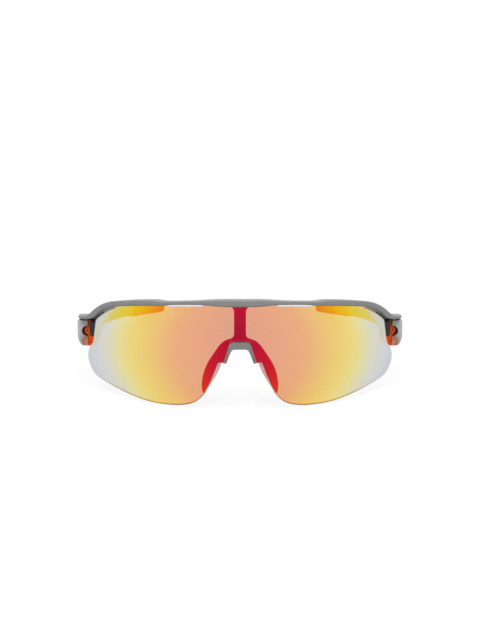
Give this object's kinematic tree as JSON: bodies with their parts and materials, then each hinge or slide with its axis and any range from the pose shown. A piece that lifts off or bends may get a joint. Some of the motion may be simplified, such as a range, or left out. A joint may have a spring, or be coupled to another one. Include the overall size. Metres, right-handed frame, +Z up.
{
  "type": "shield sunglasses",
  "caption": "Half-rim shield sunglasses with a wraparound mirrored lens, a brow bar, soft nose pads and folding two-part temples with rubber tips.",
  "frame": {"origin": "middle of the footprint of the box, on the surface the glasses stand on", "axes": "+Z up, -Y the way the lens faces, +X the wearer's left"},
  "size_m": [0.145, 0.1588, 0.046],
  "materials": {
    "frame_grey": "satin grey injection-moulded nylon",
    "shell_grey": "satin light grey injection-moulded nylon",
    "bridge_black": "black injection-moulded nylon with a grey arch",
    "mirror_lens": "polished polycarbonate with a red to gold mirror coat",
    "pad_clear": "clear soft silicone",
    "hinge_black": "black glass-filled nylon",
    "core_orange": "satin orange-red nylon",
    "tip_rubber": "matt orange-red elastomer",
    "steel": "plain turned",
    "washer_nylon": "natural nylon"
  },
  "bodies": {
    "front": {"brow_frame": "frame_grey", "shield_lens": "mirror_lens", "nose_bridge": "bridge_black", "bridge_screw": "steel", "nose_pad_left": "pad_clear", "nose_pad_right": "pad_clear", "hinge_bracket_left": "hinge_black", "hinge_bracket_right": "hinge_black", "bracket_screw_left": "steel", "bracket_screw_right": "steel", "hinge_pin_left": "steel", "hinge_pin_right": "steel", "hinge_washers_left": "washer_nylon", "hinge_washers_right": "washer_nylon"},
    "temple_left": {"temple_core_left": "core_orange", "temple_shell_left": "shell_grey", "temple_tip_left": "tip_rubber"},
    "temple_right": {"temple_core_right": "core_orange", "temple_shell_right": "shell_grey", "temple_tip_right": "tip_rubber"}
  },
  "joints": [
    {"name": "left_temple_fold", "type": "hinge", "parent": "front", "child": "temple_left", "pos_m": [0.0656, -0.03602, 0.02287], "axis": [0, 0.1865, 0.9825], "range_deg": [0, 86]},
    {"name": "right_temple_fold", "type": "hinge", "parent": "front", "child": "temple_right", "pos_m": [-0.0656, -0.03602, 0.02287], "axis": [0, -0.1865, -0.9825], "range_deg": [0, 73]}
  ]
}
